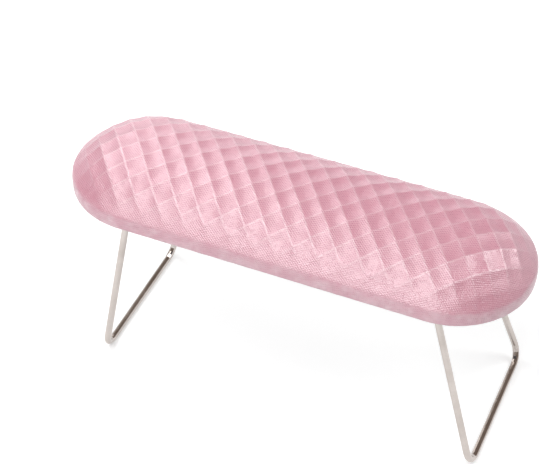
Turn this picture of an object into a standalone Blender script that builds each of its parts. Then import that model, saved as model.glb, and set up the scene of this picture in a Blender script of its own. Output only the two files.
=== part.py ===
# Padded manicure hand rest: a quilted stadium-shaped cushion on two bent wire legs.
# X runs along the cushion, Y across it, Z up. The two floor bars lie on Z = 0.

import bpy
import bmesh
import math
from bisect import bisect_left
from mathutils import Matrix, Vector
from mathutils.geometry import delaunay_2d_cdt

# Overall sizes, in metres

PAD_LENGTH = 0.400
PAD_WIDTH = 0.136
RIM_HEIGHT = 0.150
SKIRT_HEIGHT = 0.0125
CROWN_RISE = 0.0269
CROWN_POWER = 2.9
CROWN_END_DROP = 0.08
CLEARANCE = 0.0003

# Cover

COVER_THICKNESS = 0.0010
COVER_SHOULDER_RADIUS = 0.0025
COVER_FOLD_RADIUS = 0.0022
HEM_WIDTH = 0.0140
DIAMOND_SIDE = 0.0156
DIAMOND_TURN = math.radians(44.7)
DIAMOND_OTHER_SIDE = 0.0170
DIAMOND_OTHER_TURN = math.radians(127.7)
DIAMOND_SHIFT_X = -0.0023
DIAMOND_SHIFT_Y = -0.0068
DIAMOND_STEPS = 3
RIDGE_HEIGHT = 0.0012
RIDGE_POWER = 1.6
RIDGE_FADE_START = 0.80
RIDGE_AT_RIM = 0.25
RIM_MARGIN = 0.0022

# Board and lining

BOARD_THICKNESS = 0.0080
BOARD_EDGE_ROUND = 0.0012
BOARD_EDGE_STEPS = 2
LINING_THICKNESS = 0.0008
LINING_INSET = 0.0050

# Staples that hold the hem

STAPLE_CROWN = 0.0100
STAPLE_WIRE = 0.0006
STAPLE_WIRE_WIDTH = 0.0009
STAPLE_LEG = 0.0060
STAPLE_PITCH = 0.0600
STAPLE_INSET = 0.0085

# Legs

ROD_DIAMETER = 0.0060
ROD_BEVEL_STEPS = 4
FLOOR_BEND_RADIUS = 0.0120
TOP_BEND_RADIUS = 0.0110
BEND_STEPS = 5
LEFT_FOOT_INSET = 0.0480
LEFT_TOP_INSET = 0.0678
RIGHT_FOOT_INSET = 0.0164
RIGHT_TOP_INSET = 0.0653
FOOT_OUTSET = 0.0010
TOP_INSET = 0.0197
LUG_REACH = 0.0300
LUG_LENGTH = 0.0160
LUG_WIDTH = 0.0110
LUG_THICKNESS = 0.0030
LUG_CORNER = 0.0035
LUG_NECK_WIDTH = 0.0036

# Screws, washers and tee nuts

SCREW_DIAMETER = 0.0040
SCREW_LENGTH = 0.0155
SCREW_TIP_CHAMFER = 0.0008
SCREW_HEAD_DIAMETER = 0.0080
SCREW_HEAD_HEIGHT = 0.0028
SCREW_HEAD_CROWN = 0.0009
SCREW_HEAD_EDGE = 0.0010
SLOT_LENGTH = 0.0046
SLOT_WIDTH = 0.0010
SLOT_DEPTH = 0.0014
WASHER_DIAMETER = 0.0110
WASHER_THICKNESS = 0.0010
NUT_BARREL_WALL = 0.0010
NUT_FLANGE_DIAMETER = 0.0160
NUT_FLANGE_THICKNESS = 0.0012
NUT_BARREL_LENGTH = 0.0060

# Facets

ARC_STEPS = 26
STRAIGHT_STEPS = 8
RIM_SPACING = 0.0056
SHOULDER_STEPS = 2
FOLD_STEPS = 2
CROWN_RINGS = (1.0, 0.90, 0.76, 0.57, 0.32, 0.0)
TURN_STEPS = 14
ARC_TABLE_STEPS = 600
ARC_TABLE_REACH = 1.8
SHARP_ANGLE = math.radians(35.0)
FLAT_ANGLE = math.radians(0.1)
INSIDE_LINES = 1
MERGE_DISTANCE = 0.0000001

# Places and heights that follow from the sizes

PAD_END_RADIUS = PAD_WIDTH / 2
PAD_CENTRE = PAD_LENGTH / 2 - PAD_END_RADIUS
LEFT_FOOT_X = LEFT_FOOT_INSET - PAD_LENGTH / 2
LEFT_TOP_X = LEFT_TOP_INSET - PAD_LENGTH / 2
RIGHT_FOOT_X = PAD_LENGTH / 2 - RIGHT_FOOT_INSET
RIGHT_TOP_X = PAD_LENGTH / 2 - RIGHT_TOP_INSET
FOOT_HALF_SPAN = PAD_WIDTH / 2 + FOOT_OUTSET
TOP_HALF_SPAN = PAD_WIDTH / 2 - TOP_INSET
ROD_RADIUS = ROD_DIAMETER / 2
ROD_SIDES = 2 * (ROD_BEVEL_STEPS + 2)
ROD_FLAT_RADIUS = ROD_RADIUS * math.cos(math.pi / ROD_SIDES)
SKIRT_TOP = RIM_HEIGHT + SKIRT_HEIGHT
BOARD_BOTTOM = RIM_HEIGHT + COVER_THICKNESS + CLEARANCE
BOARD_TOP = BOARD_BOTTOM + BOARD_THICKNESS
FOAM_BOTTOM = BOARD_TOP + CLEARANCE
STAPLE_TOP = RIM_HEIGHT - CLEARANCE
LINING_TOP = STAPLE_TOP - STAPLE_WIRE - CLEARANCE
LINING_BOTTOM = LINING_TOP - LINING_THICKNESS
LUG_TOP = LINING_BOTTOM - CLEARANCE
LUG_BOTTOM = LUG_TOP - LUG_THICKNESS
WASHER_TOP = LUG_BOTTOM - CLEARANCE
WASHER_BOTTOM = WASHER_TOP - WASHER_THICKNESS
HEAD_TOP = WASHER_BOTTOM - CLEARANCE
HOLE_RADIUS = SCREW_DIAMETER / 2 + CLEARANCE
BARREL_RADIUS = HOLE_RADIUS + NUT_BARREL_WALL
PLATE_INSET = COVER_THICKNESS + CLEARANCE


# Materials

def make_material(name, colour, metallic, roughness):
    material = bpy.data.materials.new(name)
    material.use_nodes = True
    shader = material.node_tree.nodes["Principled BSDF"]
    shader.inputs["Base Color"].default_value = (*colour, 1.0)
    shader.inputs["Metallic"].default_value = metallic
    shader.inputs["Roughness"].default_value = roughness
    material.diffuse_color = (*colour, 1.0)
    return material


# Object helpers

def link_mesh(name, mesh, collection, material=None):
    obj = bpy.data.objects.new(name, mesh)
    collection.objects.link(obj)
    if material:
        obj.data.materials.append(material)
    return obj


def link_bmesh(name, bm, collection, material=None):
    bmesh.ops.recalc_face_normals(bm, faces=bm.faces)
    mesh = bpy.data.meshes.new(name)
    bm.to_mesh(mesh)
    bm.free()
    return link_mesh(name, mesh, collection, material)


def baked(obj):
    graph = bpy.context.evaluated_depsgraph_get()
    mesh = bpy.data.meshes.new_from_object(obj.evaluated_get(graph))
    mesh.transform(obj.matrix_world)
    bm = bmesh.new()
    bm.from_mesh(mesh)
    bmesh.ops.remove_doubles(bm, verts=bm.verts, dist=0.000001)
    bmesh.ops.recalc_face_normals(bm, faces=bm.faces)
    bm.to_mesh(mesh)
    bm.free()
    return mesh


def replace_with_mesh(obj, collection, material=None):
    name = obj.name
    mesh = baked(obj)
    data = obj.data
    bpy.data.objects.remove(obj, do_unlink=True)
    if isinstance(data, bpy.types.Curve):
        bpy.data.curves.remove(data)
    else:
        bpy.data.meshes.remove(data)
    mesh.name = name
    return link_mesh(name, mesh, collection, material)


def merge_flat_faces(obj):
    bm = bmesh.new()
    bm.from_mesh(obj.data)
    bmesh.ops.dissolve_limit(bm, angle_limit=FLAT_ANGLE, verts=bm.verts, edges=bm.edges)
    bm.to_mesh(obj.data)
    bm.free()


def smooth(obj):
    mesh = obj.data
    mesh.shade_smooth()
    mesh.set_sharp_from_angle(angle=SHARP_ANGLE)


def cut(obj, cutter, operation="DIFFERENCE"):
    modifier = obj.modifiers.new(operation.title(), "BOOLEAN")
    modifier.operation = operation
    modifier.solver = "EXACT"
    modifier.object = cutter
    cutter.hide_render = True
    cutter.display_type = "WIRE"
    return modifier


def extruded(name, outline, bottom, top, collection, material=None):
    curve = bpy.data.curves.new(name, "CURVE")
    curve.dimensions = "2D"
    curve.fill_mode = "BOTH"
    curve.extrude = (top - bottom) / 2
    spline = curve.splines.new("POLY")
    spline.points.add(len(outline) - 1)
    for point, (x, y) in zip(spline.points, outline):
        point.co = (x, y, 0.0, 1.0)
    spline.use_cyclic_u = True
    obj = bpy.data.objects.new(name, curve)
    collection.objects.link(obj)
    obj.location.z = (top + bottom) / 2
    bpy.context.view_layer.update()
    solid = replace_with_mesh(obj, collection, material)
    merge_flat_faces(solid)
    return solid


def turned(name, profile, closed, place, collection, material=None, steps=TURN_STEPS):
    mesh = bpy.data.meshes.new(name)
    edges = [(i, i + 1) for i in range(len(profile) - 1)]
    if closed:
        edges.append((len(profile) - 1, 0))
    mesh.from_pydata([(radius, 0.0, height) for radius, height in profile], edges, [])
    obj = link_mesh(name, mesh, collection)
    obj.location = place
    screw = obj.modifiers.new("Turn", "SCREW")
    screw.axis = "Z"
    screw.angle = 2 * math.pi
    screw.steps = steps
    screw.render_steps = steps
    screw.use_merge_vertices = True
    screw.merge_threshold = 0.00001
    bpy.context.view_layer.update()
    return replace_with_mesh(obj, collection, material)


# Stadium outlines

def stadium(inset, arc_steps=ARC_STEPS, straight_steps=1):
    radius = PAD_END_RADIUS - inset
    points = []
    for side in (1, -1):
        for step in range(arc_steps + 1):
            angle = math.pi * (step / arc_steps - 0.5 * side)
            points.append((side * PAD_CENTRE + radius * math.cos(angle), radius * math.sin(angle)))
        for step in range(1, straight_steps):
            x = side * PAD_CENTRE * (1 - 2 * step / straight_steps)
            points.append((x, side * radius))
    return points


def stadium_prism(name, inset, bottom, top, collection, material=None, arc_steps=ARC_STEPS):
    return extruded(name, stadium(inset, arc_steps), bottom, top, collection, material)


# Crown of the cushion

def crown(x, share):
    lengthwise = 1 - CROWN_END_DROP * (2 * x / PAD_LENGTH) ** 2
    return CROWN_RISE * (1 - share ** CROWN_POWER) * lengthwise


def crowned_block(name, inset, bottom, edge_height, collection, material=None):
    bm = bmesh.new()
    rings = [[bm.verts.new((x, y, bottom)) for x, y in stadium(inset, straight_steps=STRAIGHT_STEPS)]]
    radius = PAD_END_RADIUS - inset
    for share in CROWN_RINGS:
        outline = stadium(inset + radius * (1 - share), straight_steps=STRAIGHT_STEPS)
        ring = []
        for x, y in outline:
            ring.append(bm.verts.new((x, y, edge_height + crown(x, share))))
        rings.append(ring)
    count = len(rings[0])
    for lower, upper in zip(rings, rings[1:]):
        for i in range(count):
            j = (i + 1) % count
            bm.faces.new((lower[i], lower[j], upper[j], upper[i]))
    bm.faces.new(reversed(rings[0]))
    bmesh.ops.remove_doubles(bm, verts=bm.verts, dist=0.000001)
    return link_bmesh(name, bm, collection, material)


# Cloth laid over the crown

def arc_table():
    shares = [ARC_TABLE_REACH * i / ARC_TABLE_STEPS for i in range(ARC_TABLE_STEPS + 1)]
    lengths = [0.0]
    for low, high in zip(shares, shares[1:]):
        drop = CROWN_RISE * (high ** CROWN_POWER - low ** CROWN_POWER)
        lengths.append(lengths[-1] + math.hypot(PAD_END_RADIUS * (high - low), drop))
    return shares, lengths


def looked_up(value, places, results):
    index = min(max(bisect_left(places, value), 1), len(places) - 1)
    part = (value - places[index - 1]) / (places[index] - places[index - 1])
    return results[index - 1] + part * (results[index] - results[index - 1])


def from_middle(x, y):
    middle = max(-PAD_CENTRE, min(PAD_CENTRE, x))
    length = math.hypot(x - middle, y)
    out = Vector((x - middle, y)) / length if length > 0 else Vector((0.0, 0.0))
    return middle, length, out


def ridge(cell_u, cell_v):
    hollow = 1.0
    for value in (cell_u, cell_v):
        hollow *= 1 - abs(2 * (value - math.floor(value)) - 1) ** RIDGE_POWER
    return RIDGE_HEIGHT * (1 - hollow)


def rim_fade(share):
    part = min(max((share - RIDGE_FADE_START) / (1 - RIDGE_FADE_START), 0.0), 1.0)
    return 1 - (1 - RIDGE_AT_RIM) * part


def crown_slope(share):
    return CROWN_RISE * CROWN_POWER * share ** (CROWN_POWER - 1) / PAD_END_RADIUS


def laid(cloth, table):
    shares, lengths = table
    middle, length, out = from_middle(cloth.x, cloth.y)
    share = looked_up(length, lengths, shares)
    x = middle + out.x * share * PAD_END_RADIUS
    y = out.y * share * PAD_END_RADIUS
    slope = crown_slope(share)
    normal = Vector((out.x * slope, out.y * slope, 1.0)).normalized()
    return Vector((x, y, SKIRT_TOP + crown(x, share))) + normal * cloth.z * rim_fade(share)


def diamond_axes():
    across = Vector((math.cos(DIAMOND_TURN), math.sin(DIAMOND_TURN))) * DIAMOND_SIDE
    along = Vector((math.cos(DIAMOND_OTHER_TURN), math.sin(DIAMOND_OTHER_TURN))) * DIAMOND_OTHER_SIDE
    return Matrix((across, along)).transposed()


def grid_square(cloth):
    shift = Vector((DIAMOND_SHIFT_X, DIAMOND_SHIFT_Y))
    cell = diamond_axes().inverted() @ (cloth.xy - shift)
    return math.floor(cell.x * DIAMOND_STEPS), math.floor(cell.y * DIAMOND_STEPS)


def quilted_cloth(rim_length):
    axes = diamond_axes()
    cells = math.ceil((PAD_CENTRE + rim_length) / DIAMOND_SIDE)
    segments = 2 * cells * DIAMOND_STEPS
    bm = bmesh.new()
    bmesh.ops.create_grid(bm, x_segments=segments, y_segments=segments, size=cells)
    for vert in bm.verts:
        cell = vert.co.xy
        cloth = axes @ cell
        vert.co = (cloth.x + DIAMOND_SHIFT_X, cloth.y + DIAMOND_SHIFT_Y, ridge(cell.x, cell.y))
    outside = [vert for vert in bm.verts if from_middle(vert.co.x, vert.co.y)[1] > rim_length - RIM_MARGIN]
    bmesh.ops.delete(bm, geom=outside, context="VERTS")
    bmesh.ops.delete(bm, geom=[vert for vert in bm.verts if not vert.link_faces], context="VERTS")
    return bm


def add_rim(bm, rim_length):
    squares = {grid_square(face.calc_center_median()) for face in bm.faces}
    inner = [edge for edge in bm.edges if edge.is_boundary]
    arc_steps = round(math.pi * rim_length / RIM_SPACING)
    straight_steps = round(2 * PAD_CENTRE / RIM_SPACING)
    outline = stadium(PAD_END_RADIUS - rim_length, arc_steps, straight_steps)
    rim = [bm.verts.new((x, y, 0.0)) for x, y in outline]
    verts = rim + list({vert: None for edge in inner for vert in edge.verts})
    number = {vert: index for index, vert in enumerate(verts)}
    lines = [(index, (index + 1) % len(rim)) for index in range(len(rim))]
    lines += [(number[edge.verts[0]], number[edge.verts[1]]) for edge in inner]
    places = [vert.co.xy for vert in verts]
    filled = delaunay_2d_cdt(places, lines, [], INSIDE_LINES, MERGE_DISTANCE)
    source = [group[0] for group in filled[3]]
    for triangle in filled[2]:
        corners = [verts[source[index]] for index in triangle]
        middle = sum((vert.co for vert in corners), Vector()) / len(corners)
        if grid_square(middle) not in squares:
            bm.faces.new(corners)
    return rim


def skirt_rings():
    slope = math.atan(crown_slope(1.0))
    turn = math.pi / 2 - slope
    trim = COVER_SHOULDER_RADIUS * math.tan(turn / 2)
    rings = []
    for step in range(1, SHOULDER_STEPS + 1):
        angle = slope + turn * step / SHOULDER_STEPS
        inset = COVER_SHOULDER_RADIUS * (1 - math.sin(angle))
        rings.append((inset, SKIRT_TOP - trim + COVER_SHOULDER_RADIUS * math.cos(angle)))
    for step in range(FOLD_STEPS + 1):
        angle = math.pi / 2 * step / FOLD_STEPS
        inset = COVER_FOLD_RADIUS * (1 - math.cos(angle))
        rings.append((inset, RIM_HEIGHT + COVER_FOLD_RADIUS * (1 - math.sin(angle))))
    return trim * math.cos(slope), rings


def add_skirt(bm, rim, rings):
    outs = [from_middle(vert.co.x, vert.co.y) for vert in rim]
    count = len(rim)
    upper = rim
    for inset, height in rings:
        lower = []
        for middle, _, out in outs:
            reach = PAD_END_RADIUS - inset
            lower.append(bm.verts.new((middle + out.x * reach, out.y * reach, height)))
        for i in range(count):
            j = (i + 1) % count
            bm.faces.new((upper[i], lower[i], lower[j], upper[j]))
        upper = lower
    bm.faces.new(upper)


def quilted_blank(name, collection, material):
    table = arc_table()
    rim_inset, rings = skirt_rings()
    rim_length = looked_up(1 - rim_inset / PAD_END_RADIUS, *table)
    bm = quilted_cloth(rim_length)
    rim = add_rim(bm, rim_length)
    for vert in bm.verts:
        vert.co = laid(vert.co, table)
    add_skirt(bm, rim, rings)
    return link_bmesh(name, bm, collection, material)


def make_cover(collection, cutters, material):
    cover = quilted_blank("cover", collection, material)
    cavity_bottom = RIM_HEIGHT + COVER_THICKNESS
    cavity_edge = SKIRT_TOP - COVER_THICKNESS
    cavity = crowned_block("cover_cavity", COVER_THICKNESS, cavity_bottom, cavity_edge, cutters)
    round_edge(cavity, BOARD_EDGE_ROUND, cavity_bottom)
    opening_bottom = RIM_HEIGHT - COVER_THICKNESS
    opening_top = cavity_bottom + COVER_THICKNESS
    opening = stadium_prism("hem_opening", HEM_WIDTH, opening_bottom, opening_top, cutters)
    cut(cover, cavity)
    cut(cover, opening)
    return cover


def round_edge(obj, radius, height):
    bm = bmesh.new()
    bm.from_mesh(obj.data)
    edges = []
    for edge in bm.edges:
        level = all(abs(vert.co.z - height) < CLEARANCE / 10 for vert in edge.verts)
        if level and edge.calc_face_angle(0.0) > SHARP_ANGLE:
            edges.append(edge)
    bmesh.ops.bevel(bm, geom=edges, offset=radius, segments=BOARD_EDGE_STEPS, profile=0.5, affect="EDGES")
    bm.to_mesh(obj.data)
    bm.free()


# Leg geometry

def rounded_path(corners, radii):
    points = [Vector(corners[0])]
    for before, corner, after, radius in zip(corners, corners[1:], corners[2:], radii):
        corner = Vector(corner)
        back = (Vector(before) - corner).normalized()
        ahead = (Vector(after) - corner).normalized()
        half = back.angle(ahead) / 2
        trim = radius / math.tan(half)
        centre = corner + (back + ahead).normalized() * (radius / math.sin(half))
        start = corner + back * trim - centre
        end = corner + ahead * trim - centre
        sweep = start.angle(end)
        axis = start.cross(end).normalized()
        for step in range(BEND_STEPS + 1):
            turn = Matrix.Rotation(sweep * step / BEND_STEPS, 3, axis)
            points.append(centre + turn @ start)
    points.append(Vector(corners[-1]))
    return points


def leg_top(foot_x, top_x):
    level = LUG_TOP - ROD_RADIUS
    part = (level - ROD_FLAT_RADIUS) / (RIM_HEIGHT - ROD_FLAT_RADIUS)
    x = foot_x + (top_x - foot_x) * part
    y = FOOT_HALF_SPAN + (TOP_HALF_SPAN - FOOT_HALF_SPAN) * part
    return x, y, level


def lug_centre(foot_x, top_x, side):
    x, y, _ = leg_top(foot_x, top_x)
    inward = -math.copysign(1.0, top_x)
    return Vector((x + inward * (LUG_REACH - LUG_LENGTH / 2), side * y, 0.0)), inward


def half_leg_corners(foot_x, top_x):
    x, y, level = leg_top(foot_x, top_x)
    inward = -math.copysign(1.0, top_x)
    inner = x + inward * (LUG_REACH - LUG_LENGTH)
    return [
        (foot_x, 0.0, ROD_FLAT_RADIUS),
        (foot_x, FOOT_HALF_SPAN, ROD_FLAT_RADIUS),
        (x, y, level),
        (inner, y, level),
    ]


def lug_outline(centre, inward):
    length = LUG_LENGTH / 2
    width = LUG_WIDTH / 2
    points = []
    for step in range(BEND_STEPS * 2 + 1):
        angle = -math.pi / 2 + math.pi * step / (BEND_STEPS * 2)
        points.append((length - width + width * math.cos(angle), width * math.sin(angle)))
    points.append((-length + LUG_CORNER / 2, width))
    points.append((-length - LUG_CORNER, LUG_NECK_WIDTH / 2))
    points.append((-length - LUG_CORNER, -LUG_NECK_WIDTH / 2))
    points.append((-length + LUG_CORNER / 2, -width))
    return [(centre.x + inward * x, centre.y + y) for x, y in points]


def make_rod(name, corners, collection, material):
    curve = bpy.data.curves.new(name, "CURVE")
    curve.dimensions = "3D"
    curve.bevel_depth = ROD_RADIUS
    curve.bevel_resolution = ROD_BEVEL_STEPS
    curve.use_fill_caps = True
    curve.twist_mode = "MINIMUM"
    path = rounded_path(corners, (FLOOR_BEND_RADIUS, TOP_BEND_RADIUS))
    spline = curve.splines.new("POLY")
    spline.points.add(len(path) - 1)
    for point, place in zip(spline.points, path):
        point.co = (*place, 1.0)
        point.tilt = math.pi / ROD_SIDES
    half = bpy.data.objects.new(name, curve)
    collection.objects.link(half)
    bpy.context.view_layer.update()
    rod = replace_with_mesh(half, collection, material)
    bm = bmesh.new()
    bm.from_mesh(rod.data)
    middle = [face for face in bm.faces if all(abs(vert.co.y) < CLEARANCE / 10 for vert in face.verts)]
    bmesh.ops.delete(bm, geom=middle, context="FACES_ONLY")
    for vert in bm.verts:
        if abs(vert.co.y) < CLEARANCE / 10:
            vert.co.y = 0.0
    bm.to_mesh(rod.data)
    bm.free()
    mirror = rod.modifiers.new("Other side", "MIRROR")
    mirror.use_axis = (False, True, False)
    mirror.merge_threshold = 0.00001
    return rod


def make_leg(name, foot_x, top_x, collection, cutters, material):
    leg = make_rod(name, half_leg_corners(foot_x, top_x), collection, material)
    for side in (-1, 1):
        centre, inward = lug_centre(foot_x, top_x, side)
        lug = extruded(name + "_lug", lug_outline(centre, inward), LUG_BOTTOM, LUG_TOP, cutters)
        cut(leg, lug, "UNION")
    for side in (-1, 1):
        centre, _ = lug_centre(foot_x, top_x, side)
        hole = drill(name + "_hole", HOLE_RADIUS, centre, LUG_BOTTOM, LUG_TOP, cutters)
        cut(leg, hole)
    return leg


def drill(name, radius, centre, bottom, top, cutters):
    reach = COVER_THICKNESS
    profile = [(0.0, top + reach), (radius, top + reach), (radius, bottom - reach), (0.0, bottom - reach)]
    return turned(name, profile, False, (centre.x, centre.y, 0.0), cutters)


# Fasteners

def make_screw(name, centre, collection, cutters, material):
    head = SCREW_HEAD_DIAMETER / 2
    shank = SCREW_DIAMETER / 2
    end = HEAD_TOP + SCREW_LENGTH
    bottom = HEAD_TOP - SCREW_HEAD_HEIGHT
    profile = [
        (0.0, end),
        (shank - SCREW_TIP_CHAMFER / 2, end),
        (shank, end - SCREW_TIP_CHAMFER),
        (shank, HEAD_TOP),
        (head, HEAD_TOP),
        (head, bottom + SCREW_HEAD_CROWN),
        (head - SCREW_HEAD_EDGE, bottom + SCREW_HEAD_CROWN / 4),
        (0.0, bottom),
    ]
    screw = turned(name, profile, False, (centre.x, centre.y, 0.0), collection, material)
    for long_x, long_y in ((SLOT_LENGTH, SLOT_WIDTH), (SLOT_WIDTH, SLOT_LENGTH)):
        outline = [
            (centre.x + sx * long_x / 2, centre.y + sy * long_y / 2)
            for sx, sy in ((-1, -1), (1, -1), (1, 1), (-1, 1))
        ]
        slot = extruded(name + "_slot", outline, bottom - SLOT_DEPTH, bottom + SLOT_DEPTH, cutters)
        cut(screw, slot)
    return screw


def make_washer(name, centre, collection, material):
    outer = WASHER_DIAMETER / 2
    profile = [
        (HOLE_RADIUS, WASHER_TOP),
        (outer, WASHER_TOP),
        (outer, WASHER_BOTTOM),
        (HOLE_RADIUS, WASHER_BOTTOM),
    ]
    return turned(name, profile, True, (centre.x, centre.y, 0.0), collection, material)


def make_tee_nut(name, centre, collection, material):
    flange = NUT_FLANGE_DIAMETER / 2
    flange_top = BOARD_TOP
    flange_bottom = flange_top - NUT_FLANGE_THICKNESS
    barrel_bottom = flange_bottom - NUT_BARREL_LENGTH
    profile = [
        (HOLE_RADIUS, flange_top),
        (flange, flange_top),
        (flange, flange_bottom),
        (BARREL_RADIUS, flange_bottom),
        (BARREL_RADIUS, barrel_bottom),
        (HOLE_RADIUS, barrel_bottom),
    ]
    return turned(name, profile, True, (centre.x, centre.y, 0.0), collection, material)


def staple_outline(grow):
    outer = STAPLE_CROWN / 2 + grow
    inner = outer - STAPLE_WIRE - 2 * grow
    foot = -grow
    shoulder = STAPLE_WIRE + grow
    tip = STAPLE_WIRE + STAPLE_LEG + grow
    return [
        (-outer, foot),
        (outer, foot),
        (outer, tip),
        (inner, tip),
        (inner, shoulder),
        (-inner, shoulder),
        (-inner, tip),
        (-outer, tip),
    ]


def staple_places():
    radius = PAD_END_RADIUS - STAPLE_INSET
    straight = 2 * PAD_CENTRE
    arc = math.pi * radius
    total = 2 * (straight + arc)
    count = max(4, round(total / STAPLE_PITCH))
    places = []
    for index in range(count):
        run = (index + 0.5) * total / count
        side = 1
        if run > straight + arc:
            run -= straight + arc
            side = -1
        if run < straight:
            place = (side * (PAD_CENTRE - run), side * radius)
            angle = 0.0
        else:
            swing = (run - straight) / radius
            place = (-side * (PAD_CENTRE + radius * math.sin(swing)), side * radius * math.cos(swing))
            angle = swing
        places.append((place, angle))
    return places


def staple_matrix(place, angle):
    bottom = STAPLE_TOP - STAPLE_WIRE
    upright = Matrix.Rotation(math.pi / 2, 4, "X")
    return Matrix.Translation((*place, bottom)) @ Matrix.Rotation(angle, 4, "Z") @ upright


def make_staple(name, place, angle, collection, material):
    half = STAPLE_WIRE_WIDTH / 2
    staple = extruded(name, staple_outline(0.0), -half, half, collection, material)
    staple.data.transform(staple_matrix(place, angle))
    return staple


def staple_slots(name, cutters):
    bm = bmesh.new()
    half_width = STAPLE_WIRE_WIDTH / 2 + CLEARANCE
    low = STAPLE_WIRE
    high = STAPLE_WIRE + STAPLE_LEG + CLEARANCE
    outer = STAPLE_CROWN / 2 + CLEARANCE
    inner = outer - STAPLE_WIRE - 2 * CLEARANCE
    for place, angle in staple_places():
        matrix = staple_matrix(place, angle)
        for side in (-1, 1):
            middle = side * (outer + inner) / 2
            size = (outer - inner, high - low, 2 * half_width)
            box = Matrix.Translation((middle, (low + high) / 2, 0.0)) @ Matrix.Diagonal((*size, 1.0))
            bmesh.ops.create_cube(bm, size=1.0, matrix=matrix @ box)
    return link_bmesh(name, bm, cutters)


# Assembly

def build():
    for obj in list(bpy.data.objects):
        bpy.data.objects.remove(obj, do_unlink=True)
    parts = bpy.data.collections.new("manicure_hand_rest")
    cutters = bpy.data.collections.new("cutters")
    bpy.context.scene.collection.children.link(parts)
    bpy.context.scene.collection.children.link(cutters)

    pink = make_material("pink_cover", (0.80, 0.36, 0.47), 0.0, 0.45)
    foam_grey = make_material("foam", (0.78, 0.76, 0.70), 0.0, 0.9)
    board_wood = make_material("board", (0.55, 0.40, 0.25), 0.0, 0.7)
    lining_grey = make_material("lining", (0.16, 0.16, 0.17), 0.0, 0.85)
    plated_rod = make_material("plated_rod", (0.72, 0.68, 0.64), 1.0, 0.18)
    zinc_screw = make_material("zinc_screw", (0.60, 0.60, 0.62), 1.0, 0.3)
    zinc_nut = make_material("zinc_nut", (0.62, 0.60, 0.52), 1.0, 0.35)
    steel_staple = make_material("steel_staple", (0.55, 0.55, 0.56), 1.0, 0.35)
    zinc_washer = make_material("zinc_washer", (0.64, 0.64, 0.66), 1.0, 0.3)

    slots = staple_slots("staple_slots", cutters)
    cover = make_cover(parts, cutters, pink)
    cut(cover, slots)

    foam_edge = SKIRT_TOP - COVER_THICKNESS - CLEARANCE
    foam = crowned_block("foam_pad", PLATE_INSET, FOAM_BOTTOM, foam_edge, parts, foam_grey)

    board = stadium_prism("base_board", PLATE_INSET, BOARD_BOTTOM, BOARD_TOP, parts, board_wood)
    round_edge(board, BOARD_EDGE_ROUND, BOARD_BOTTOM)
    cut(board, slots)

    lining = stadium_prism("bottom_lining", LINING_INSET, LINING_BOTTOM, LINING_TOP, parts, lining_grey)

    legs = (("left", LEFT_FOOT_X, LEFT_TOP_X), ("right", RIGHT_FOOT_X, RIGHT_TOP_X))
    for label, foot_x, top_x in legs:
        leg = make_leg("leg_" + label, foot_x, top_x, parts, cutters, plated_rod)
        smooth(leg)
        for end, side in (("front", -1), ("rear", 1)):
            centre, _ = lug_centre(foot_x, top_x, side)
            place = label + "_" + end
            screw = make_screw("screw_" + place, centre, parts, cutters, zinc_screw)
            washer = make_washer("washer_" + place, centre, parts, zinc_washer)
            nut = make_tee_nut("tee_nut_" + place, centre, parts, zinc_nut)
            for piece in (screw, washer, nut):
                smooth(piece)
            hole = drill("lining_hole_" + place, HOLE_RADIUS, centre, LINING_BOTTOM, LINING_TOP, cutters)
            cut(lining, hole)
            radius = BARREL_RADIUS + CLEARANCE
            hole = drill("barrel_hole_" + place, radius, centre, BOARD_BOTTOM, BOARD_TOP, cutters)
            cut(board, hole)
            radius = NUT_FLANGE_DIAMETER / 2 + CLEARANCE
            seat_bottom = BOARD_TOP - NUT_FLANGE_THICKNESS - CLEARANCE + COVER_THICKNESS
            seat = drill("flange_seat_" + place, radius, centre, seat_bottom, BOARD_TOP, cutters)
            cut(board, seat)

    for index, (place, angle) in enumerate(staple_places()):
        make_staple("staple_{:02d}".format(index + 1), place, angle, parts, steel_staple)

    smooth(cover)
    smooth(foam)


build()
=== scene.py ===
import math

import bmesh
import bpy
import numpy as np
from mathutils import Matrix, Vector
from mathutils.bvhtree import BVHTree


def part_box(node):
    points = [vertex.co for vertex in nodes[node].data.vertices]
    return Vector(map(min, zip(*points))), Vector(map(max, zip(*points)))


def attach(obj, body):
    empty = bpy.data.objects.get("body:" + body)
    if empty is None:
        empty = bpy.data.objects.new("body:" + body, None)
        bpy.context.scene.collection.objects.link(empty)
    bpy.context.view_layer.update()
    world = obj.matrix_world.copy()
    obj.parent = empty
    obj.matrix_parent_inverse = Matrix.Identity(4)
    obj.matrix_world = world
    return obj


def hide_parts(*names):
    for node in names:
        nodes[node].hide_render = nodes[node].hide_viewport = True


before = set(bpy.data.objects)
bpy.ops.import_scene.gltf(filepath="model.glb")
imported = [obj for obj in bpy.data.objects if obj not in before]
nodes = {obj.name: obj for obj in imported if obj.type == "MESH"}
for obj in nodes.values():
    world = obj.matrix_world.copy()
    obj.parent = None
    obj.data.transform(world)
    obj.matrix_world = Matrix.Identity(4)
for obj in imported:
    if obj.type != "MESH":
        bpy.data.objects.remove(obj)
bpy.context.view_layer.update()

# Sizes of the dressed cushion; lengths are in metres throughout

cover_low, cover_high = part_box("cover")
PAD_LENGTH = cover_high.x - cover_low.x
PAD_WIDTH = cover_high.y - cover_low.y
RIM_HEIGHT = cover_low.z
SKIRT_HEIGHT = 0.0125
SKIRT_TOP = RIM_HEIGHT + SKIRT_HEIGHT
CROWN_RISE = 0.0273
CROWN_POWER = 2.9
CROWN_END_DROP = 0.08
FOLD_RADIUS = 0.0022
HEM_WIDTH = 0.0140
COVER_THICKNESS = 0.0009
HALF = PAD_WIDTH / 2
CENTRE = PAD_LENGTH / 2 - HALF

# The cover's section is walked in even steps; its shoulder is rounded over some of them

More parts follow.
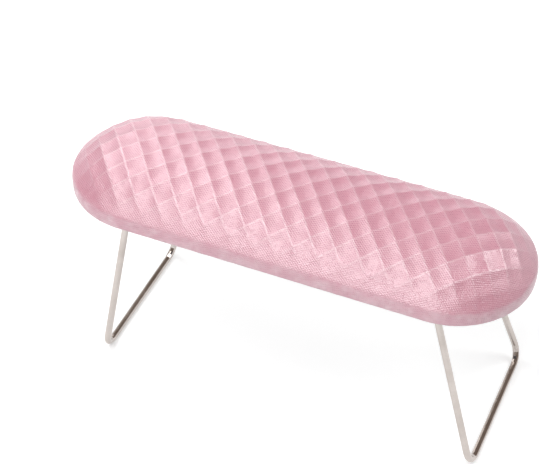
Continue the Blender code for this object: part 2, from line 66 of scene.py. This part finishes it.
SECTION_STEP = 0.00025
CROWN_SAMPLES = 400
FOLD_SAMPLES = 14
SHOULDER_STEPS = 14
SHOULDER_SPREAD = 5.5
RIM_SHARE = 0.985
TINY = 1e-9

# The embossed diamonds: their sides, their relief and how it fades towards the rim

DIAMOND_SIDE = 0.0156
DIAMOND_TURN = math.radians(44.7)
DIAMOND_OTHER_SIDE = 0.0170
DIAMOND_OTHER_TURN = math.radians(127.7)
DIAMOND_SHIFT = (-0.0023, -0.0068)
CELL_STEPS = 12
SPARE_CELLS = 4
RIDGE_HEIGHT = 0.00100
RIDGE_POWER = 1.7
FADE_START = 0.60
FADE_SPAN = 0.40
FADE_MOST = 0.92

# The crease between crown and skirt; a slow wave and a finer ripple move it up and down

CREASE_DEPTH = 0.00045
CREASE_WIDTH = 0.0007
CREASE_BELOW_EDGE = 0.0012
WAVE_HEIGHT, WAVE_RATES, WAVE_START = 0.0005, (95, 41), 1.3
RIPPLE_HEIGHT, RIPPLE_RATES = 0.0003, (60, 130)

# The look of the cover's cloth: the grain, a painted highlight on the raised lines and a painted
# sheen at its edge

RIBS_PER_DIAMOND = 7
BEADS_PER_DIAMOND = 12
GRAIN_DEPTH = 0.00013
PORE_DEPTH = 0.00030
GRAIN_PALENESS = 0.30
# the paleness of the raised lines is a painted highlight
RIDGE_GLINT_PALENESS = 0.65
# the edge's paleness, and where it starts and ends, are a painted sheen
EDGE_SHEEN_PALENESS = 0.50
SHEEN_ABOVE_EDGE = 0.004
SHEEN_BELOW_EDGE = 0.001
COVER_ROUGHNESS = 0.38
GRAIN_ROUGHNESS = 0.20

# The simulated swelling: a pad that starts low, and how its swell is read off and limited

PAD_INSET = 0.0022
PAD_BOTTOM = RIM_HEIGHT + 0.002
PAD_EDGE = SKIRT_TOP - 0.003
PAD_VOXEL = 0.005
PAD_MOVE_LIMIT = 0.005
SWELL_FRAMES = 20
SWELL_GRID = 0.008
SWELL_BLUR = 0.011
SWELL_LIMIT = 0.0015
SWELL_RIM_FADE = 0.012
PROBE_DEPTH = 0.012
PROBE_REACH = 0.03
PROBE_BLOCK = 4000

# Foam blocks are built from rings that share the crown's shape

ARC_STEPS = 36
STRAIGHT_STEPS = 40
RING_SHARES = (1.0, 0.97, 0.92, 0.86, 0.78, 0.69, 0.58, 0.46, 0.32, 0.16, 0.0)
WELD_DISTANCE = 0.000001
FOAM_INSET = 0.0014
FOAM_EDGE = SKIRT_TOP - 0.0016
FOAM_SHARP_ANGLE = math.radians(40)

# Colours, linear red, green and blue

WHITE = (1.0, 1.0, 1.0)
PINK_DEEP = (0.595, 0.225, 0.310)
PINK_LIGHT = (0.625, 0.250, 0.335)
PINK_PALE = (0.86, 0.64, 0.69)
NICKEL_DARK = (0.50, 0.45, 0.42)
NICKEL_LIGHT = (0.59, 0.54, 0.51)
LINING_DARK = (0.10, 0.10, 0.11)
LINING_LIGHT = (0.20, 0.20, 0.21)
FLOOR_GREY = (0.86, 0.86, 0.86)
STUDIO_DARK = (0.24, 0.19, 0.16)

# The floor lifts itself to white, less in the light near the object than farther out

FLOOR_REACH = 6.0
LIFT_NEAR, LIFT_NEAR_STRENGTH = 0.5, 0.42
LIFT_FAR, LIFT_FAR_STRENGTH = 2.2, 0.95

# The world lights softly and shows bright; in the gloss it goes dim above the horizon

WORLD_LIGHT = 0.15
WORLD_SEEN = 0.85
HORIZON_TOP = 0.08
DIM_FROM = 0.28

# Lamps: name, turn to the left of straight behind the pad and rise above it in degrees,
# distance, width, height and brightness

SOFTBOXES = (
    ("left_softbox", 64, 46, 0.9, 0.44, 0.54, 3.9),
    ("right_softbox", -58, 42, 0.9, 0.46, 0.40, 4.8),
    ("rear_softbox", 32, 16, 1.1, 0.80, 0.20, 2.4),
    ("top_softbox", 160, 57, 1.25, 1.10, 0.84, 3.9),
    ("front_softbox", 180, 22, 1.9, 1.30, 0.80, 1.2),
)

# The camera, as fitted to the photograph; the focal length is in pixels of its width

CAMERA_AZIMUTH = math.radians(23.046)
CAMERA_ELEVATION = math.radians(42.554)
CAMERA_ROLL = math.radians(0.352)
CAMERA_DISTANCE = 1.33873
CAMERA_AIM = Vector((-0.02513, 0.0, 0.12956))
FOCAL_PIXELS = 1604.64
WIDTH_PIXELS = 540
SENSOR_WIDTH = 36.0


# Node helpers

MIX_SHARE, MIX_FIRST, MIX_SECOND, MIX_RESULT = 0, 6, 7, 2


def opaque(colour):
    return (*colour, 1.0)


def plug(tree, node, sockets):
    """Give each socket, by name or place, a plain value or another node's output."""
    for key, value in sockets.items():
        if isinstance(value, bpy.types.NodeSocket):
            tree.links.new(value, node.inputs[key])
        else:
            node.inputs[key].default_value = value


def add(tree, kind, sockets=None, **properties):
    node = tree.nodes.new(kind)
    for key, value in properties.items():
        setattr(node, key, value)
    plug(tree, node, sockets or {})
    return node


def maths(tree, operation, *values):
    sockets = dict(enumerate(values))
    return add(tree, "ShaderNodeMath", sockets, operation=operation).outputs[0]


def chain(tree, operation, first, *others):
    for other in others:
        first = maths(tree, operation, first, other)
    return first


def map_range(tree, value, from_min, from_max, to_min=0.0, to_max=1.0):
    sockets = {"Value": value, "From Min": from_min, "From Max": from_max}
    sockets.update({"To Min": to_min, "To Max": to_max})
    node = add(tree, "ShaderNodeMapRange", sockets, interpolation_type="SMOOTHSTEP")
    return node.outputs["Result"]


def ramp(tree, source, *stops):
    """Two stops, each a place and a colour or a grey."""
    node = add(tree, "ShaderNodeValToRGB", {"Fac": source})
    for element, (place, colour) in zip(node.color_ramp.elements, stops):
        element.position = place
        element.color = opaque(colour if isinstance(colour, tuple) else (colour,) * 3)
    return node.outputs["Color"]


def mix_colours(tree, share, first, second):
    sockets = {MIX_SHARE: share, MIX_FIRST: first, MIX_SECOND: second}
    return add(tree, "ShaderNodeMix", sockets, data_type="RGBA").outputs[MIX_RESULT]


def noise(tree, vector, scale, detail, roughness=0.5):
    sockets = {"Vector": vector, "Scale": scale, "Detail": detail, "Roughness": roughness}
    return add(tree, "ShaderNodeTexNoise", sockets).outputs["Fac"]


def bump(tree, height, strength, depth, under=None):
    sockets = {"Height": height, "Strength": strength, "Distance": depth}
    if under is not None:
        sockets["Normal"] = under
    return add(tree, "ShaderNodeBump", sockets).outputs["Normal"]


def coordinates(tree, kind):
    return add(tree, "ShaderNodeTexCoord").outputs[kind]


def split(tree, vector):
    return add(tree, "ShaderNodeSeparateXYZ", {0: vector}).outputs


def stripes(tree, value, count):
    """A wave from minus one to one, with so many stripes to a diamond."""
    return maths(tree, "COSINE", maths(tree, "MULTIPLY", value, math.pi * count))


def from_line(tree, value):
    """One on the lines between the cells, nothing in the middle of a cell."""
    within = maths(tree, "FRACT", value)
    return maths(tree, "ABSOLUTE", maths(tree, "MULTIPLY_ADD", within, 2.0, -1.0))


def mirrored_rays(tree):
    """One for rays that arrive by way of metal, gloss or glass."""
    path = add(tree, "ShaderNodeLightPath").outputs
    return maths(tree, "MAXIMUM", path["Is Glossy Ray"], path["Is Transmission Ray"])


def seen_rays(tree):
    """One for rays that show the background, straight to the camera or mirrored."""
    path = add(tree, "ShaderNodeLightPath").outputs
    return maths(tree, "MAXIMUM", path["Is Camera Ray"], mirrored_rays(tree))


# Object helpers

def new_object(name, data):
    obj = bpy.data.objects.new(name, data)
    bpy.context.scene.collection.objects.link(obj)
    return obj


def mesh_from(bm, name):
    mesh = bpy.data.meshes.new(name)
    bm.to_mesh(mesh)
    bm.free()
    return mesh


# Materials

def new_material(name):
    material = bpy.data.materials.new(name)
    material.use_nodes = True
    tree = material.node_tree
    return material, tree, tree.nodes["Principled BSDF"]


def set_material(obj, material):
    obj.data.materials.clear()
    obj.data.materials.append(material)


def cover_material():
    material, tree, shader = new_material("embossed_pink")
    cloth = split(tree, add(tree, "ShaderNodeUVMap", uv_map="cloth").outputs["UV"])
    place = coordinates(tree, "Object")

    # ribbed grain that runs across the pad, from corner to corner of the diamonds
    across = maths(tree, "SUBTRACT", cloth["X"], cloth["Y"])
    along = maths(tree, "ADD", cloth["X"], cloth["Y"])
    ribs = stripes(tree, across, RIBS_PER_DIAMOND)
    beads = stripes(tree, along, BEADS_PER_DIAMOND)
    uneven = noise(tree, place, scale=260.0, detail=2.0)
    patchy = ramp(tree, uneven, (0.35, 0.45), (0.62, 1.0))
    dots = chain(tree, "MULTIPLY", ribs, beads, patchy)
    fine = noise(tree, place, scale=700.0, detail=2.0)
    grain = bump(tree, dots, strength=1.0, depth=GRAIN_DEPTH)
    pores = bump(tree, fine, strength=1.0, depth=PORE_DEPTH, under=grain)

    # painted highlight: the raised lines are painted paler, standing in for their glint, broken
    # up by the grain
    nearest = maths(tree, "MAXIMUM", from_line(tree, cloth["X"]), from_line(tree, cloth["Y"]))
    line = map_range(tree, nearest, from_min=0.84, from_max=0.97, to_max=RIDGE_GLINT_PALENESS)
    broken = maths(tree, "MULTIPLY_ADD", dots, 0.5, 0.5)
    relief = add(tree, "ShaderNodeAttribute", attribute_name="relief").outputs["Fac"]
    painted_ridge_glint = chain(tree, "MULTIPLY", line, broken, relief)

    # painted sheen: blotchy pale highlights painted where the cloth is pulled over the edge of
    # the skirt, and on the skirt below it
    edge = map_range(
        tree, split(tree, place)["Z"],
        from_min=SKIRT_TOP + SHEEN_ABOVE_EDGE, from_max=SKIRT_TOP - SHEEN_BELOW_EDGE,
    )
    blotch = noise(tree, place, scale=75.0, detail=4.0, roughness=0.65)
    blotches = ramp(tree, blotch, (0.40, 0.0), (0.68, EDGE_SHEEN_PALENESS))
    painted_edge_sheen = maths(tree, "MULTIPLY", blotches, edge)

    # the grain's dots are a little paler and rougher everywhere
    woven = maths(tree, "MULTIPLY", maths(tree, "MAXIMUM", dots, 0.0), GRAIN_PALENESS)
    broad = noise(tree, place, scale=22.0, detail=2.0)
    tone = ramp(tree, broad, (0.30, PINK_DEEP), (0.70, PINK_LIGHT))
    share = chain(tree, "MAXIMUM", painted_ridge_glint, painted_edge_sheen, woven)
    plug(tree, shader, {
        "Base Color": mix_colours(tree, share, tone, opaque(PINK_PALE)),
        "Normal": pores,
        "Roughness": maths(tree, "MULTIPLY_ADD", dots, GRAIN_ROUGHNESS, COVER_ROUGHNESS),
        "Specular IOR Level": 1.0,
        "IOR": 1.85,
        "Coat Weight": 0.4,
        "Coat Roughness": 0.22,
    })
    return material


def rod_material():
    material, tree, shader = new_material("nickel_rod")
    place = coordinates(tree, "Object")
    cloud = noise(tree, place, scale=60.0, detail=4.0)
    fine = noise(tree, place, scale=900.0, detail=2.0)
    plug(tree, shader, {
        "Base Color": ramp(tree, cloud, (0.3, NICKEL_DARK), (0.7, NICKEL_LIGHT)),
        "Roughness": ramp(tree, cloud, (0.3, 0.10), (0.75, 0.17)),
        "Metallic": 1.0,
        "Normal": bump(tree, fine, strength=0.05, depth=0.00005),
    })
    return material


def speckled_material(
    name, dark, light, roughness, scale, depth, metallic=0.0, stretch=(1.0, 1.0, 1.0)
):
    material, tree, shader = new_material(name)
    sockets = {"Vector": coordinates(tree, "Object"), "Scale": stretch}
    mapping = add(tree, "ShaderNodeMapping", sockets)
    specks = noise(tree, mapping.outputs["Vector"], scale=scale, detail=5.0, roughness=0.65)
    smooth, rough = roughness
    plug(tree, shader, {
        "Base Color": ramp(tree, specks, (0.32, dark), (0.68, light)),
        "Roughness": ramp(tree, specks, (0.3, smooth), (0.7, rough)),
        "Metallic": metallic,
        "Normal": bump(tree, specks, strength=0.4, depth=depth),
    })
    return material


def lining_material():
    material, tree, shader = new_material("bonded_lining")
    place = coordinates(tree, "Object")
    cells = add(tree, "ShaderNodeTexVoronoi", {"Vector": place, "Scale": 620.0})
    fibres = noise(tree, place, scale=260.0, detail=6.0, roughness=0.7)
    height = maths(tree, "ADD", cells.outputs["Distance"], fibres)
    plug(tree, shader, {
        "Base Color": ramp(tree, fibres, (0.3, LINING_DARK), (0.7, LINING_LIGHT)),
        "Roughness": 0.9,
        "Normal": bump(tree, height, strength=0.5, depth=0.00025),
    })
    return material


pink = cover_material()
nickel = rod_material()
foam_grey = speckled_material(
    "open_cell_foam", dark=(0.60, 0.57, 0.50), light=(0.82, 0.80, 0.74),
    roughness=(0.9, 1.0), scale=700.0, depth=0.0004,
)
board_wood = speckled_material(
    "fibreboard", dark=(0.36, 0.24, 0.14), light=(0.56, 0.42, 0.27),
    roughness=(0.6, 0.8), scale=240.0, depth=0.0002, stretch=(1.0, 1.0, 4.0),
)
lining_black = lining_material()
zinc = speckled_material(
    "zinc_plate", dark=(0.52, 0.53, 0.55), light=(0.68, 0.69, 0.70),
    roughness=(0.22, 0.36), scale=420.0, depth=0.00005, metallic=1.0,
)
zinc_yellow = speckled_material(
    "yellow_zinc", dark=(0.56, 0.50, 0.36), light=(0.72, 0.66, 0.50),
    roughness=(0.25, 0.4), scale=420.0, depth=0.00005, metallic=1.0,
)
staple_wire = speckled_material(
    "staple_wire", dark=(0.48, 0.48, 0.50), light=(0.62, 0.62, 0.64),
    roughness=(0.3, 0.45), scale=500.0, depth=0.00005, metallic=1.0,
)

# Each solid's material goes by how its name starts

MATERIAL_STARTS = {
    "cover": pink,
    "leg": nickel,
    "foam_pad": foam_grey,
    "base_board": board_wood,
    "bottom_lining": lining_black,
    "screw": zinc,
    "washer": zinc,
    "tee_nut": zinc_yellow,
    "staple": staple_wire,
}

for name, node in nodes.items():
    for start, material in MATERIAL_STARTS.items():
        if name.startswith(start):
            set_material(node, material)


# Section of the cover, from the crown's middle line out over the rim and under the board

def crown_rise(share):
    """Rise of the crown at a share of the way from the middle line to the rim."""
    return CROWN_RISE * (1 - share ** CROWN_POWER)


def end_share(x):
    """The crown is a little lower towards both ends of the pad."""
    return 1 - CROWN_END_DROP * (2 * x / PAD_LENGTH) ** 2


def run_along(reach, height):
    steps = np.hypot(np.diff(reach), np.diff(height))
    return np.concatenate([[0.0], np.cumsum(steps)])


def cover_section():
    """Distance along the cloth, distance from the middle line and height over the skirt's top."""
    share = np.linspace(0.0, 1.0, CROWN_SAMPLES)
    down = np.arange(SECTION_STEP, SKIRT_HEIGHT - FOLD_RADIUS, SECTION_STEP)
    angle = np.linspace(0, math.pi / 2, FOLD_SAMPLES)
    inward = np.arange(SECTION_STEP, HEM_WIDTH - FOLD_RADIUS, SECTION_STEP)
    reach = np.concatenate([
        share * HALF,
        np.full(len(down), HALF),
        HALF - FOLD_RADIUS * (1 - np.cos(angle)),
        HALF - FOLD_RADIUS - inward,
    ])
    height = np.concatenate([
        crown_rise(share),
        -down,
        -(SKIRT_HEIGHT - FOLD_RADIUS) - FOLD_RADIUS * np.sin(angle),
        np.full(len(inward), -SKIRT_HEIGHT),
    ])
    run = run_along(reach, height)
    even = np.arange(0.0, run[-1], SECTION_STEP)
    reach = np.interp(even, run, reach)
    height = np.interp(even, run, height)
    # round the shoulder between crown and skirt
    offsets = np.arange(-SHOULDER_STEPS, SHOULDER_STEPS + 1)
    kernel = np.exp(-0.5 * (offsets / SHOULDER_SPREAD) ** 2)
    kernel /= kernel.sum()
    middle = slice(SHOULDER_STEPS * 2, -SHOULDER_STEPS * 2)
    for values in (reach, height):
        values[middle] = np.convolve(values, kernel, mode="same")[middle]
    return run_along(reach, height), reach, height


run, reach, height = cover_section()
slope_reach = np.gradient(reach, run)
slope_height = np.gradient(height, run)
# where the crown reaches the rim, as a distance along the cloth
RIM_RUN = float(run[np.argmin(np.abs(reach - HALF * RIM_SHARE) + (height < 0) * 1.0)])


def surface(cloth_x, cloth_y):
    """Places and outward directions of the unquilted cover at the given cloth coordinates."""
    middle = np.clip(cloth_x, -CENTRE, CENTRE)
    length = np.hypot(cloth_x - middle, cloth_y)
    safe = np.maximum(length, TINY)
    out_x = (cloth_x - middle) / safe
    out_y = cloth_y / safe
    r = np.interp(length, run, reach)
    h = np.interp(length, run, height)
    x = middle + out_x * r
    z = SKIRT_TOP + np.where(h > 0, h * end_share(x), h)
    place = np.stack([x, out_y * r, z], 1)
    n_out = -np.interp(length, run, slope_height)
    n_up = np.interp(length, run, slope_reach)
    normal = np.stack([out_x * n_out, out_y * n_out, n_up], 1)
    normal /= np.linalg.norm(normal, axis=1)[:, None]
    return length, place, normal


# Foam blocks

def stadium_points(inset):
    radius = HALF - inset
    points = []
    for side in (1, -1):
        for step in range(ARC_STEPS + 1):
            angle = math.pi * (step / ARC_STEPS - 0.5 * side)
            points.append((side * CENTRE + radius * math.cos(angle), radius * math.sin(angle)))
        for step in range(1, STRAIGHT_STEPS):
            points.append((side * CENTRE * (1 - 2 * step / STRAIGHT_STEPS), side * radius))
    return points


def crowned_block(name, inset, bottom, edge_height):
    bm = bmesh.new()
    radius = HALF - inset
    rings = [[bm.verts.new((x, y, bottom)) for x, y in stadium_points(inset)]]
    for share in RING_SHARES:
        ring = []
        for x, y in stadium_points(inset + radius * (1 - share)):
            rise = crown_rise(share) * end_share(x)
            ring.append(bm.verts.new((x, y, edge_height + rise)))
        rings.append(ring)
    count = len(rings[0])
    for lower, upper in zip(rings, rings[1:]):
        for i in range(count):
            j = (i + 1) % count
            bm.faces.new((lower[i], lower[j], upper[j], upper[i]))
    bm.faces.new(list(reversed(rings[0])))
    bmesh.ops.remove_doubles(bm, verts=bm.verts, dist=WELD_DISTANCE)
    bmesh.ops.recalc_face_normals(bm, faces=bm.faces)
    return new_object(name, mesh_from(bm, name))


# Swelling of the pad, by a cloth simulation

def evaluated_mesh(obj):
    graph = bpy.context.evaluated_depsgraph_get()
    return bpy.data.meshes.new_from_object(obj.evaluated_get(graph))


def vertex_places(mesh):
    return np.array([v.co for v in mesh.vertices])


def swollen_pad():
    """A pad that starts 2 mm low and swells under pressure with its lower edge held."""
    pad = crowned_block("swelling", PAD_INSET, PAD_BOTTOM, PAD_EDGE)
    remesh = pad.modifiers.new("Remesh", "REMESH")
    remesh.mode = "VOXEL"
    remesh.voxel_size = PAD_VOXEL
    mesh = evaluated_mesh(pad)
    pad.modifiers.clear()
    pad.data = mesh
    held = pad.vertex_groups.new(name="held")
    held.add([v.index for v in mesh.vertices if v.co.z < PAD_EDGE], 1.0, "REPLACE")
    cloth = pad.modifiers.new("Swell", "CLOTH")
    settings = cloth.settings
    settings.quality = 5
    settings.mass = 0.3
    settings.tension_stiffness = 18
    settings.compression_stiffness = 18
    settings.bending_stiffness = 2.0
    settings.use_pressure = True
    settings.uniform_pressure_force = 4.0
    settings.vertex_group_mass = "held"
    settings.effector_weights.gravity = 0.0
    cloth.point_cache.frame_start = 1
    cloth.point_cache.frame_end = SWELL_FRAMES
    start = vertex_places(mesh)
    scene = bpy.context.scene
    for number in range(1, SWELL_FRAMES + 1):
        scene.frame_set(number)
    swollen = evaluated_mesh(pad)
    move = vertex_places(swollen) - start
    size = np.linalg.norm(move, axis=1)
    move *= (np.minimum(size, PAD_MOVE_LIMIT) / np.maximum(size, TINY))[:, None]
    swollen.vertices.foreach_set("co", (start + move).ravel())
    scene.frame_set(1)
    bpy.data.objects.remove(pad)
    return swollen


def swell_offsets(place, normal, length):
    """How far the simulated pad stands off the plain crown, along the crown's own direction."""
    mesh = swollen_pad()
    corners = [v.co.copy() for v in mesh.vertices]
    tree = BVHTree.FromPolygons(corners, [tuple(p.vertices) for p in mesh.polygons])
    chosen = np.nonzero(length < RIM_RUN)[0]
    # one probe to each square of a grid, from inside the pad outwards
    squares = np.round(place[:, :2] / SWELL_GRID).astype(int)
    first_in_square = {}
    for index in chosen:
        first_in_square.setdefault((squares[index, 0], squares[index, 1]), index)
    samples = {}
    for square, index in first_in_square.items():
        start = Vector(place[index] - normal[index] * PROBE_DEPTH)
        hit = tree.ray_cast(start, Vector(normal[index]), PROBE_REACH)
        if hit[0] is not None:
            samples[square] = hit[3] - PROBE_DEPTH
    points = np.array([[k[0] * SWELL_GRID, k[1] * SWELL_GRID] for k in samples])
    values = np.array(list(samples.values()))
    values -= np.median(values)
    # blur the probes over the cover
    offsets = np.zeros(len(place))
    for block in np.array_split(chosen, max(1, len(chosen) // PROBE_BLOCK)):
        d2 = ((place[block, None, :2] - points[None]) ** 2).sum(2)
        w = np.exp(-d2 / (2 * SWELL_BLUR ** 2))
        offsets[block] = (w * values).sum(1) / w.sum(1)
    return np.clip(offsets, -SWELL_LIMIT, SWELL_LIMIT)


# Quilted cover

def lattice():
    """Diamond coordinates of a square grid of points that is larger than the cloth."""
    cells = math.ceil((PAD_LENGTH / 2 + HALF) / math.sqrt(2) / DIAMOND_SIDE) + SPARE_CELLS
    line = np.arange(2 * cells * CELL_STEPS + 1) / CELL_STEPS - cells
    cell_u, cell_v = np.meshgrid(line, line, indexing="ij")
    return len(line), cell_u.ravel(), cell_v.ravel()


def cloth_places(cell_u, cell_v):
    """Cloth coordinates, in metres, of diamond coordinates."""
    places = []
    for shift, along in zip(DIAMOND_SHIFT, (math.cos, math.sin)):
        place = shift + cell_u * DIAMOND_SIDE * along(DIAMOND_TURN)
        place += cell_v * DIAMOND_OTHER_SIDE * along(DIAMOND_OTHER_TURN)
        places.append(place)
    return places


def relief_fade(length):
    """One over most of the crown, next to nothing from the rim on."""
    fade = np.clip((length - FADE_START * RIM_RUN) / (FADE_SPAN * RIM_RUN), 0, 1)
    return 1 - FADE_MOST * fade * fade * (3 - 2 * fade)


def ridges(cell_u, cell_v):
    """Raised lines along the diamonds' sides, highest where they cross."""
    shape = np.zeros(len(cell_u))
    for value in (cell_u, cell_v):
        part = np.abs(2 * (value - np.floor(value + TINY)) - 1)
        shape += np.clip(part, 0, 1) ** RIDGE_POWER
    return RIDGE_HEIGHT * shape


def crease(cloth_x, cloth_y, z):
    """A shallow, slightly wavy groove where the crown is pulled down to the skirt."""
    fast, slow = WAVE_RATES
    wave = WAVE_HEIGHT * np.sin(cloth_x * fast) * np.sin(cloth_x * slow + WAVE_START)
    ripple = cloth_y * RIPPLE_RATES[1] + cloth_x * RIPPLE_RATES[0]
    wave = wave + RIPPLE_HEIGHT * np.sin(ripple)
    off = z - SKIRT_TOP + CREASE_BELOW_EDGE + wave
    return CREASE_DEPTH * np.exp(-(off / CREASE_WIDTH) ** 2)


def quilted_cover():
    side, cell_u, cell_v = lattice()
    cloth_x, cloth_y = cloth_places(cell_u, cell_v)
    length, place, normal = surface(cloth_x, cloth_y)
    inside = length <= run[-1]
    fade = relief_fade(length)
    puff = ridges(cell_u, cell_v) * fade - crease(cloth_x, cloth_y, place[:, 2])
    near = inside & (length < RIM_RUN)
    lift = np.zeros(len(puff))
    lift[near] = swell_offsets(place[near], normal[near], length[near])
    puff = puff + lift * np.clip((RIM_RUN - length) / SWELL_RIM_FADE, 0, 1)
    place = place + normal * puff[:, None]

    grid = np.arange(side ** 2).reshape(side, side)
    quads = np.stack([grid[:-1, :-1], grid[1:, :-1], grid[1:, 1:], grid[:-1, 1:]], -1)
    quads = quads.reshape(-1, 4)
    quads = quads[inside[quads].all(1)]
    used = np.unique(quads)
    index = np.full(len(cell_u), -1)
    index[used] = np.arange(len(used))
    mesh = bpy.data.meshes.new("quilted_cover")
    mesh.from_pydata(place[used].tolist(), [], index[quads].tolist())
    layer = mesh.uv_layers.new(name="cloth")
    corners = np.empty(len(mesh.loops), int)
    mesh.loops.foreach_get("vertex_index", corners)
    uv = np.stack([cell_u[used], cell_v[used]], 1)[corners]
    layer.data.foreach_set("uv", uv.ravel())
    relief = mesh.attributes.new("relief", "FLOAT", "POINT")
    relief.data.foreach_set("value", fade[used])
    mesh.shade_smooth()
    obj = new_object("quilted_cover", mesh)
    thick = obj.modifiers.new("Thickness", "SOLIDIFY")
    thick.thickness = COVER_THICKNESS
    thick.offset = -1.0
    set_material(obj, pink)
    return obj


cover = quilted_cover()
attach(cover, "root")
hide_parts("cover")

foam = crowned_block("foam_core", FOAM_INSET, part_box("foam_pad")[0].z, FOAM_EDGE)
set_material(foam, foam_grey)
foam.data.shade_smooth()
foam.data.set_sharp_from_angle(angle=FOAM_SHARP_ANGLE)
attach(foam, "root")
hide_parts("foam_pad")


# Floor, light and camera

def make_floor():
    bm = bmesh.new()
    bmesh.ops.create_grid(bm, x_segments=2, y_segments=2, size=FLOOR_REACH)
    floor = new_object("floor", mesh_from(bm, "floor"))
    material, tree, shader = new_material("floor_white")
    # the lamps light the floor near the object, its own lift takes over farther out
    sockets = {0: coordinates(tree, "Object")}
    away = add(tree, "ShaderNodeVectorMath", sockets, operation="LENGTH").outputs["Value"]
    share = map_range(
        tree, away, from_min=LIFT_NEAR, from_max=LIFT_FAR,
        to_min=LIFT_NEAR_STRENGTH, to_max=LIFT_FAR_STRENGTH,
    )
    plug(tree, shader, {
        "Base Color": opaque(FLOOR_GREY),
        "Roughness": 0.9,
        "Specular IOR Level": 0.1,
        "Emission Color": opaque(WHITE),
        "Emission Strength": maths(tree, "MULTIPLY", seen_rays(tree), share),
    })
    set_material(floor, material)


def make_world():
    world = bpy.data.worlds.new("studio")
    bpy.context.scene.world = world
    world.use_nodes = True
    tree = world.node_tree
    # pale down to the horizon for whatever shows the background, dim above it in the gloss
    rise = split(tree, coordinates(tree, "Generated"))["Z"]
    above = ramp(tree, rise, (HORIZON_TOP, WHITE), (DIM_FROM, STUDIO_DARK))
    plug(tree, tree.nodes["Background"], {
        "Color": mix_colours(tree, mirrored_rays(tree), opaque(WHITE), above),
        "Strength": maths(tree, "MULTIPLY_ADD", seen_rays(tree), WORLD_SEEN, WORLD_LIGHT),
    })


def softbox(name, turn, rise, distance, wide, high, brightness):
    """A lamp that is aimed at the middle of the pad."""
    turn, rise = math.radians(turn), math.radians(rise)
    level = math.cos(rise)
    away = Vector((-math.sin(turn) * level, math.cos(turn) * level, math.sin(rise)))
    aim = Vector((0.0, 0.0, SKIRT_TOP))
    place = aim + away * distance
    data = bpy.data.lights.new(name, "AREA")
    data.shape = "RECTANGLE"
    data.size = wide
    data.size_y = high
    data.energy = brightness * math.pi * wide * high
    lamp = new_object(name, data)
    lamp.location = place
    lamp.rotation_euler = (aim - place).to_track_quat("-Z", "Y").to_euler()


def make_camera():
    level = math.cos(CAMERA_ELEVATION)
    back = Vector((
        math.sin(CAMERA_AZIMUTH) * level,
        -math.cos(CAMERA_AZIMUTH) * level,
        math.sin(CAMERA_ELEVATION),
    ))
    right = (-back).cross(Vector((0, 0, 1))).normalized()
    up = right.cross(-back)
    side = right * math.cos(CAMERA_ROLL) + up * math.sin(CAMERA_ROLL)
    top = up * math.cos(CAMERA_ROLL) - right * math.sin(CAMERA_ROLL)
    data = bpy.data.cameras.new("camera")
    data.sensor_width = SENSOR_WIDTH
    data.lens = FOCAL_PIXELS / WIDTH_PIXELS * SENSOR_WIDTH
    data.clip_start = 0.05
    data.clip_end = 50.0
    camera = new_object("camera", data)
    matrix = Matrix((side, top, back)).transposed().to_4x4()
    matrix.translation = CAMERA_AIM + back * CAMERA_DISTANCE
    camera.matrix_world = matrix
    bpy.context.scene.camera = camera


make_floor()
make_world()
for lamp_values in SOFTBOXES:
    softbox(*lamp_values)
make_camera()
bpy.context.scene.view_settings.view_transform = "Standard"
